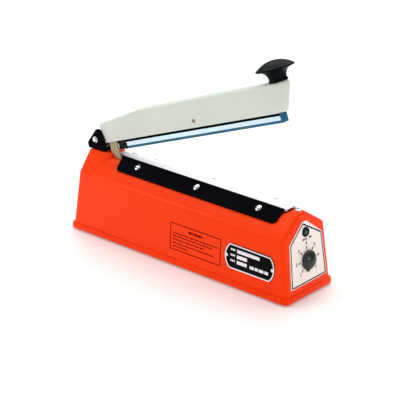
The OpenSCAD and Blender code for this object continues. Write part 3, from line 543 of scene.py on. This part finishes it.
def print_panel():
    """The control panel's border line, dial scale, numbers and lamp marks."""
    turn = joint("knob_turn")
    panel = largest_face("control_panel", (0, 1, 0), (1, 0, 0))
    dial_x, dial_y, _ = panel.locate(turn["pos_m"])
    dial = panel.moved(dial_x, dial_y)
    bm = bmesh.new()
    edge = outline_of("control_panel", dial, 0)
    line(bm, dial, inset(edge, PANEL_LINE[0]), PANEL_LINE[1], INK_LOW, INK_HIGH)
    for i in range(TICKS):
        angle = math.radians(TICK_STEP * (i - (TICKS - 1) / 2))
        along = Vector((math.sin(angle), math.cos(angle)))
        across = Vector((along.y, -along.x)) * TICK_HALF
        corners = (along * TICK_IN - across, along * TICK_IN + across,
                   along * TICK_OUT + across, along * TICK_OUT - across)
        slab(bm, dial, [tuple(c) for c in corners], INK_LOW, INK_HIGH)
        number(dial, str(i + 1), along * NUMBER_AT)
    lamp_x, lamp_y, _ = dial.locate(centre("lamp_bezel"))
    for x0, x1 in LAMP_MARKS:
        mark = rectangle(lamp_x + x0, lamp_x + x1, lamp_y - LAMP_MARKS_LOW,
                         lamp_y - LAMP_MARKS_TOP)
        slab(bm, dial, mark, INK_LOW, INK_HIGH)
    piece_from(bm, "panel_printing", "base", "black_paint", "ink_black")
    bm = bmesh.new()
    line(bm, dial, inset(edge, PANEL_MARGIN[0]), PANEL_MARGIN[1], INK_LOW, INK_HIGH)
    piece_from(bm, "panel_margin", "base", "rivet_plastic", "ink_white")


# Name plate: each field's height and right end, their left end and half height, the place and
# pattern of the labels beside them, and of the row of bars
FIELDS = ((7.2, 13.0), (1.0, -3.4), (-5.2, -3.4))
FIELD_LEFT, FIELD_HALF = -17.0, 1.9
LABEL = dict(start=-25.5, end=-19.5, height=2.2, lengths=(1.6, 2.2, 1.2), gap=0.5)
LABEL_RISE = 0.5
PLATE_BARS = dict(start=0.5, end=25.0, y=-5.6, height=3.4, lengths=(5.4, 4.2, 6.4, 5.0), gap=1.2)
RIM_INSET, RIM_WIDTH, RIM_INK = 0.15, 1.35, 0.06


def print_name_plate():
    """Bright rim, three blank fields with labels, and a row of plain bars."""
    plate = largest_face("name_plate", (1, 0, 0), (0, -1, 0))
    x, y, _ = plate.locate(centre("name_plate"))
    plate = plate.moved(x, y)
    bm = bmesh.new()
    boxes = words(**PLATE_BARS)
    for y, end in FIELDS:
        boxes.append(rectangle(FIELD_LEFT, end, y - FIELD_HALF, y + FIELD_HALF))
        boxes += words(y=y + LABEL_RISE, **LABEL)
    for box in boxes:
        slab(bm, plate, box, INK_LOW, INK_HIGH)
    rim = max(plate.locate(v.co)[2] for v in frame["nodes"]["name_plate"].data.vertices)
    edge = inset(outline_of("name_plate", plate, rim), RIM_INSET)
    line(bm, plate, edge, RIM_WIDTH, rim + INK_LOW, rim + RIM_INK)
    piece_from(bm, "name_plate_printing", "base", "rivet_plastic", "ink_white")


# Notice on the near wall: its ends, foot and top from the name plate's centre, and its border.
# Each row has its drop from the top, its start and end as shares of the width, its height
# and the lengths of its bars; the first is the heading.
NOTICE_X0, NOTICE_X1, NOTICE_Y0, NOTICE_Y1 = -110.3, -39.4, -16.8, 13.9
NOTICE_BORDER = 1.0
NOTICE_ROWS = (
    (5.6, 0.36, 0.64, 2.8, (4.6, 2.4, 3.4)),
    (11.2, 0.05, 0.95, 1.3, (3.2, 5.4, 2.2, 4.4)),
    (14.6, 0.05, 0.83, 1.3, (4.8, 2.6, 3.8)),
    (18.4, 0.05, 0.66, 1.3, (2.4, 4.6, 5.2)),
    (22.6, 0.05, 0.86, 1.3, (5.0, 3.0, 4.2, 2.0)),
    (26.2, 0.05, 0.35, 1.3, (3.6, 4.8)),
)


def print_notice():
    """A boxed notice on the near wall: a heading and five rows of plain bars."""
    wall = largest_face("housing", (1, 0, 0), (0, -1, 0))
    x, y, _ = wall.locate(centre("name_plate"))
    wall = wall.moved(x, y)
    bm = bmesh.new()
    border = rectangle(NOTICE_X0, NOTICE_X1, NOTICE_Y0, NOTICE_Y1)
    line(bm, wall, border, NOTICE_BORDER, INK_LOW, INK_HIGH)
    width = NOTICE_X1 - NOTICE_X0
    for drop, start, end, height, lengths in NOTICE_ROWS:
        for box in words(NOTICE_X0 + width * start, NOTICE_X0 + width * end, NOTICE_Y1 - drop,
                         height, lengths):
            slab(bm, wall, box, INK_LOW, INK_HIGH)
    piece_from(bm, "notice_printing", "base", "lead_skin", "ink_red")


# ---- Pieces made here ----
# Knob: its skirt's height, the wall and depth of the hollow below, the points round a ring, the
# rings up the dome, and the flutes' count, depth and where they fade, as shares of the radius
KNOB_SKIRT = 1.5
KNOB_INSIDE, KNOB_FOOT, KNOB_RECESS = 0.72, 0.74, 1.2
KNOB_TURNS, KNOB_RINGS = 120, 10
FLUTES, FLUTE_DEPTH, FLUTE_FADE = 20, 0.07, 0.55
# Nib: how far it starts inside and ends outside the skirt, its half widths there, and its height
NIB_IN, NIB_OUT, NIB_HALF_IN, NIB_HALF_OUT, NIB_HIGH = 1, 1.3, 1.6, 1.3, 2


def fluted_knob():
    """The timer knob with shallow flutes round its dome, and its index nib."""
    turn = joint("knob_turn")
    dial = Face(turn["pos_m"], (0, 1, 0), turn["axis"])
    local = [dial.locate(v.co) for v in frame["nodes"]["timer_knob"].data.vertices]
    base = min(p[2] for p in local)
    top = max(p[2] for p in local)
    radius = max(abs(p[0]) for p in local if p[2] < base + 1)
    dome = top - base - KNOB_SKIRT
    curve = (radius ** 2 + dome ** 2) / (2 * dome)
    reach = math.asin(radius / curve)
    profile = [(radius * KNOB_INSIDE, base + KNOB_RECESS), (radius * KNOB_FOOT, base),
               (radius, base), (radius, base + KNOB_SKIRT)]
    for i in range(1, KNOB_RINGS):
        lean = reach * (1 - i / KNOB_RINGS)
        profile.append((curve * math.sin(lean), top - curve + curve * math.cos(lean)))
    bm = bmesh.new()
    rings = []
    for r, h in profile:
        ring = []
        depth = FLUTE_DEPTH * max(0.0, r / radius - FLUTE_FADE) / (1 - FLUTE_FADE)
        for k in range(KNOB_TURNS):
            angle = math.tau * k / KNOB_TURNS
            r_here = r * (1 - depth * (0.5 + 0.5 * math.cos(FLUTES * angle)))
            ring.append(bm.verts.new(dial.point(r_here * math.cos(angle),
                                                r_here * math.sin(angle), h)))
        rings.append(ring)
    for a, b in zip(rings, rings[1:]):
        for k in range(KNOB_TURNS):
            n = (k + 1) % KNOB_TURNS
            bm.faces.new((a[k], a[n], b[n], b[k]))
    bm.faces.new(rings[0][::-1])
    bm.faces.new(rings[-1])
    nib = [p for p in local if math.hypot(p[0], p[1]) > radius + 0.3]
    middle = Vector((sum(p[0] for p in nib), sum(p[1] for p in nib))).normalized()
    side = Vector((middle.y, -middle.x))
    inner = middle * (radius - NIB_IN)
    outer = middle * (radius + NIB_OUT)
    outline = [inner - side * NIB_HALF_IN, inner + side * NIB_HALF_IN,
               outer + side * NIB_HALF_OUT, outer - side * NIB_HALF_OUT]
    slab(bm, dial, [tuple(p) for p in outline], base, base + NIB_HIGH)
    for face in bm.faces:
        face.smooth = len(face.verts) == 4
    piece = piece_from(bm, "knob_fluted", "knob", "black_gloss", "knob_black", 0.2)
    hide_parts("timer_knob")


make_camera()
make_studio()
make_floor()
MATERIALS = make_materials()
slot_of = {s["node"]: s["material_slot"] for s in frame["record"]["subparts"]}

made_here = {"timer_knob"}
pieces = {}
for name in frame["nodes"]:
    if name not in made_here:
        pieces[name] = clean_copy(name)
        dress(pieces[name], slot_of[name])
fluted_knob()
print_panel()
print_name_plate()
print_notice()
